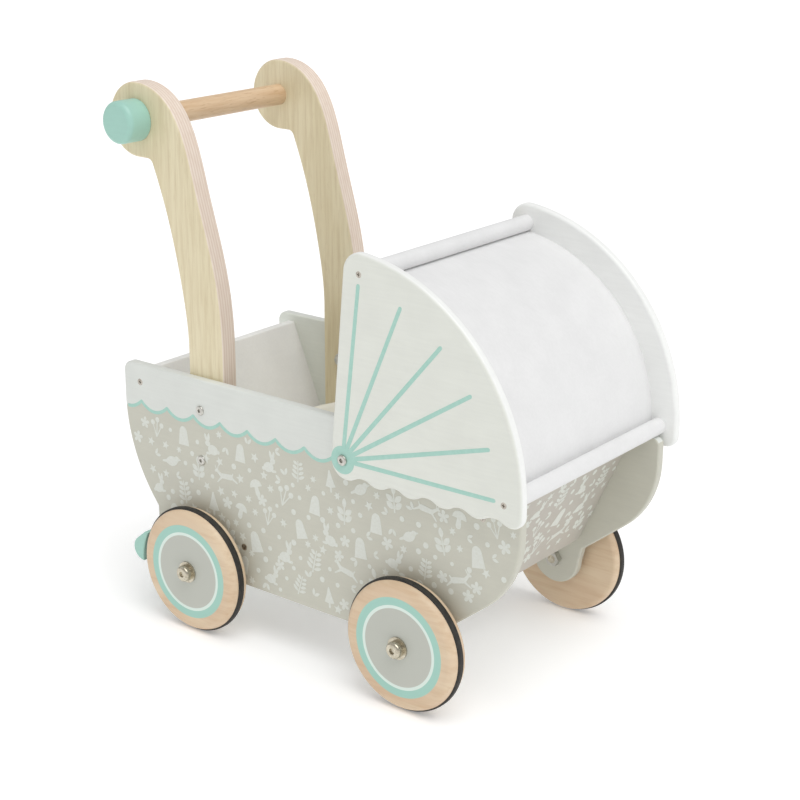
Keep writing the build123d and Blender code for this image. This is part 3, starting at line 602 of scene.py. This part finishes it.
dress(["front_board_screws", "rear_board_screws", "floor_board_screws", "hood_rail_screws"], screw_steel)
dress(["axle_spacers", "hood_pivot_washers"], nylon())
dress(["left_hood_panel", "right_hood_panel"], hood_paint)
dress(["hood_skin", "hood_rear_rail", "hood_front_rail"], sheet_paint)
tyre_rubber = rubber()
for end in ("front", "rear"):
    for word in ("left", "right"):
        wheel = f"{end}_{word}_wheel"
        dress([wheel], wheel_paint(wheel + "_paint", centre(wheel)))
        dress([f"{end}_{word}_tyre"], tyre_rubber)


# ---------------------------------------------------------------- print and trim
def keep(piece, body, material):
    piece.data.materials.append(material)
    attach(piece, body)
    return piece


ink = print_ink()
line_paint = mint_line()
SIDES = {"left": (1, (-1, 0, 0)), "right": (-1, (1, 0, 0))}


def scallop_z(x):
    """The trim's height at x, the same parabola that the body paint follows."""
    u = np.mod((x - scallop_cusp_x) / scallop_pitch, 1.0)
    return scallop_top_z - 4 * scallop_depth * u * (1 - u)


def inside_side(x, z):
    """True where a point of the side view is on the flat of the body side and below the trim."""
    margin = 2.6 * MM
    x = x - mid_x
    h = z - axle_z
    belly = h > belly_h + margin
    stern = np.hypot(x - stern_circle[0], h - stern_circle[1]) < stern_circle[2] - margin
    stern |= (x > stern_circle[0]) | (h > stern_circle[1])
    bow = np.hypot(x - bow_circle[0], h - bow_circle[1]) < bow_circle[2] - margin
    bow |= (x < bow_circle[0]) | (h > bow_circle[1])
    chin = (h - chin_foot[1]) > (x - chin_foot[0]) * chin_slope + margin
    ends = (x > rear_end + margin) & (x < front_end - margin)
    return belly & stern & bow & chin & ends & (z < scallop_z(x + mid_x) - trim_width / 2 - 1.2 * MM)


def side_sheet(sign, right, y):
    return Painted((0, sign * y, 0), right, (0, 0, 1))


for word, (sign, right) in SIDES.items():
    flip = right[0]
    sheet = side_sheet(sign, right, side_y)

    def inside(p):
        return inside_side(flip * p[:, 0], p[:, 1])

    print_motifs(sheet, (-0.235, 0.045), (0.235, 0.205), inside, 7 + sign)
    keep(sheet.piece(f"{word}_side_print"), BODY, ink)
    trim = side_sheet(sign, right, side_y)
    steps = 24
    first = math.ceil((low("left_side_panel")[0] - scallop_cusp_x) / scallop_pitch)
    x = scallop_cusp_x + np.arange((first - 1) * steps, 6 * steps) * scallop_pitch / steps
    x = x[(x > low("left_side_panel")[0] + 2.3 * MM) & (x < high("left_side_panel")[0] - 2.3 * MM)]
    z = scallop_z(x)
    steep = np.gradient(z, x)
    half = trim_width / 2 * np.sqrt(1 + steep**2)
    order = slice(None, None, int(flip))
    lower = np.stack([flip * x, z - half], -1)[order]
    upper = np.stack([flip * x, z + half], -1)[order]
    trim.band(lower, upper, layer=1)
    keep(trim.piece(f"{word}_side_trim"), BODY, line_paint)

# the front board's print, on its leaning outer face
board_low, board_high = low("front_board"), high("front_board")
board_up = np.array([math.sin(board_lean), 0, math.cos(board_lean)])
board_length = (board_high[2] - board_low[2]) / math.cos(board_lean)
front_sheet = Painted(board_foot, (0, 1, 0), board_up)


def inside_board(p):
    return (np.abs(p[:, 0]) < inner_y - 0.5 * MM) & (p[:, 1] > 0.8 * MM) & (p[:, 1] < board_length - 3 * MM)


print_motifs(front_sheet, (-0.11, 0.004), (0.11, board_length), inside_board, 21)
keep(front_sheet.piece("front_board_print"), BODY, ink)

# the fan lines and the disc about each hood pivot
fan_angles = np.array([0.9, 16.4, 32.7, 49.4, 67.0, 83.5])
for word, (sign, right) in SIDES.items():
    flip = right[0]
    lines = Painted((pivot[0], sign * hood_y, pivot[2]), right, (0, 0, 1))
    t = np.linspace(0, 2 * np.pi, 48, endpoint=False)
    lines.blob(np.stack([fan_disc * MM * np.cos(t), fan_disc * MM * np.sin(t)], -1))
    for angle in fan_angles:
        bar = limb(*fan_bar)
        bar = turn(bar, angle) * MM * (flip, 1)
        lines.blob(bar[::int(flip)])
    keep(lines.piece(f"{word}_hood_lines"), "hood", line_paint)


# ---------------------------------------------------------------- bedding
def merge(piece, distance=0.05 * MM):
    """Joins doubled points and turns all faces outwards."""
    b = bmesh.new()
    b.from_mesh(piece.data)
    bmesh.ops.remove_doubles(b, verts=b.verts, dist=distance)
    bmesh.ops.recalc_face_normals(b, faces=b.faces)
    b.to_mesh(piece.data)
    b.free()


def pad_shape(name, node, square, pinch, hollow, inset, seam=0.42, count=48):
    """A filled cover in a node's box. Its swell is ((1 - |u|^p)(1 - |v|^p))^0.45, its sides pull in
    between the corners by a squared cosine, and a cosine hollow runs along its middle."""
    lo, hi = low(node) + inset, high(node) - inset
    lo[2] -= inset - 0.2 * MM
    u, v = np.meshgrid(np.linspace(-1, 1, count), np.linspace(-1, 1, count), indexing="ij")
    mid, half = (lo + hi) / 2, (hi - lo) / 2
    swell = np.clip((1 - np.abs(u) ** square) * (1 - np.abs(v) ** square), 0, 1) ** 0.45
    x = mid[0] + u * half[0] * (1 - pinch * np.cos(v * np.pi / 2) ** 2 * np.abs(u))
    y = mid[1] + v * half[1] * (1 - pinch * np.cos(u * np.pi / 2) ** 2 * np.abs(v))
    seam_z = lo[2] + seam * (hi[2] - lo[2])
    crown = (hi[2] - seam_z) * (1 - hollow * np.cos(v * np.pi / 2) ** 2)
    top = np.stack([x, y, seam_z + swell * crown], -1)
    under = np.stack([x, y, seam_z - swell**0.6 * (seam_z - lo[2])], -1)
    points = np.concatenate([top.reshape(-1, 3), under.reshape(-1, 3)])
    faces = np.concatenate([grid_faces(count, count), grid_faces(count, count)[:, ::-1] + count * count])
    piece = mesh_piece(name, points, faces)
    merge(piece)
    return piece


def points_of(mesh):
    points = np.empty(len(mesh.vertices) * 3, dtype=np.float32)
    mesh.vertices.foreach_get("co", points)
    return points.reshape(-1, 3)


def fill_with_wadding(piece, node, channels, cap, voxel=4.5 * MM):
    """Inflates a pad as cloth with its seam and its sewn channels held, and caps how far each point goes."""
    remesh = piece.modifiers.new("remesh", "REMESH")
    remesh.mode, remesh.voxel_size = "VOXEL", voxel
    settled(piece)
    before = points_of(piece.data)
    lo, hi = low(node), high(node)
    flat = (before - (lo + hi) / 2) / ((hi - lo) / 2)
    seam = np.maximum(np.abs(flat[:, 0]), np.abs(flat[:, 1])) > 0.955
    held = seam | (before[:, 2] < lo[2] + 1.5 * MM)
    for line in channels:
        held |= (np.abs(flat[:, 0] - line) * (hi[0] - lo[0]) / 2 < 2.6 * MM) & (flat[:, 2] > 0)
    group = piece.vertex_groups.new(name="sewn")
    group.add(np.flatnonzero(held).tolist(), 1.0, "REPLACE")
    cloth = piece.modifiers.new("cloth", "CLOTH")
    cloth.settings.vertex_group_mass = "sewn"
    cloth.settings.use_pressure = True
    cloth.settings.uniform_pressure_force = 4.0
    cloth.settings.shrink_min = -0.06
    cloth.settings.effector_weights.gravity = 0.0
    cloth.settings.quality = 6
    cloth.point_cache.frame_start, cloth.point_cache.frame_end = 1, 20
    for step in range(1, 21):
        bpy.context.scene.frame_set(step)
    settled(piece)
    bpy.context.scene.frame_set(1)
    after = points_of(piece.data)
    moved = after - before
    far = np.linalg.norm(moved, axis=1, keepdims=True)
    after = before + moved * np.minimum(1, cap / np.maximum(far, 1e-9))
    after[:, 2] = np.maximum(after[:, 2], lo[2] + 0.2 * MM)
    piece.data.vertices.foreach_set("co", after.astype(np.float32).ravel())
    piece.vertex_groups.clear()


def settled(piece):
    """Bakes a piece's modifiers into its mesh."""
    shape = bpy.data.meshes.new_from_object(piece.evaluated_get(bpy.context.evaluated_depsgraph_get()))
    piece.modifiers.clear()
    piece.data = shape
    shape.polygons.foreach_set("use_smooth", np.full(len(shape.polygons), True))


def bedding_pad(node, material, square, pinch, hollow, channels):
    pad = pad_shape(f"{node}_pad", node, square, pinch, hollow, inset=3.0 * MM)
    fill_with_wadding(pad, node, channels, cap=6 * MM)
    subdivide = pad.modifiers.new("subdivision", "SUBSURF")
    subdivide.levels = subdivide.render_levels = 1
    settled(pad)
    keep(pad, BODY, material)
    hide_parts(node)


cream = cotton("cream_cotton", linear(238, 235, 219), linear(229, 225, 206))
bedding_pad("mattress", cream, 10, 0.005, 0.0, (-0.5, 0.0, 0.5))
bedding_pad("pillow", cream, 4, 0.05, 0.1, ())
bedding_pad("quilt", cream, 6, 0.02, 0.4, (0.1, 0.6))


# ---------------------------------------------------------------- studio
def studio():
    """A pale floor that glows a little, an even white surround, a broad soft light from above the hood
    end and a faint one from the handle end."""
    scene = bpy.context.scene
    scene.view_settings.view_transform = "Standard"
    world = bpy.data.worlds.new("surround")
    world.use_nodes = True
    world.node_tree.nodes["Background"].inputs[0].default_value = (1, 1, 1, 1)
    world.node_tree.nodes["Background"].inputs[1].default_value = 0.53
    scene.world = world
    size = 40.0
    floor = mesh_piece("floor", [(-size, -size, 0), (size, -size, 0), (size, size, 0), (-size, size, 0)],
                       [(0, 1, 2, 3)])
    paper = Finish("floor_paper", roughness=0.9)
    cloud = paper.noise(3, detail=2.0)
    paper.colour(paper.mix(cloud, (0.93, 0.93, 0.93, 1), (0.95, 0.95, 0.95, 1)))
    paper.shader.inputs["Emission Color"].default_value = (1, 1, 1, 1)
    paper.shader.inputs["Emission Strength"].default_value = 0.2
    floor.data.materials.append(paper.material)

    def soft_sun(name, direction, strength, spread):
        data = bpy.data.lights.new(name, "SUN")
        data.energy, data.angle = strength, math.radians(spread)
        lamp = bpy.data.objects.new(name, data)
        scene.collection.objects.link(lamp)
        lamp.rotation_euler = Vector(direction).to_track_quat("-Z", "Y").to_euler()

    soft_sun("sky_panel", (-0.45, 0.15, -1), 1.6, 50)
    soft_sun("left_panel", (0.9, 0.75, -0.8), 0.1, 50)


def camera():
    """A long lens, 38 degrees round from the right side towards the hood end and 19 above."""
    back = Vector((0.58354, -0.74550, 0.32205))
    right = Vector((0.78745, 0.61638, 0.0))
    roll = math.radians(0.223)
    up = back.cross(right)
    rolled_right = right * math.cos(roll) + up * math.sin(roll)
    rolled_up = up * math.cos(roll) - right * math.sin(roll)
    data = bpy.data.cameras.new("camera")
    data.lens, data.sensor_width, data.clip_end = 77.8, 36.0, 120.0
    shot = bpy.data.objects.new("camera", data)
    bpy.context.scene.collection.objects.link(shot)
    turned = Matrix((rolled_right, rolled_up, back)).transposed().to_4x4()
    shot.matrix_world = Matrix.Translation((0.9281, -1.1649, 0.7244)) @ turned
    bpy.context.scene.camera = shot


studio()
camera()
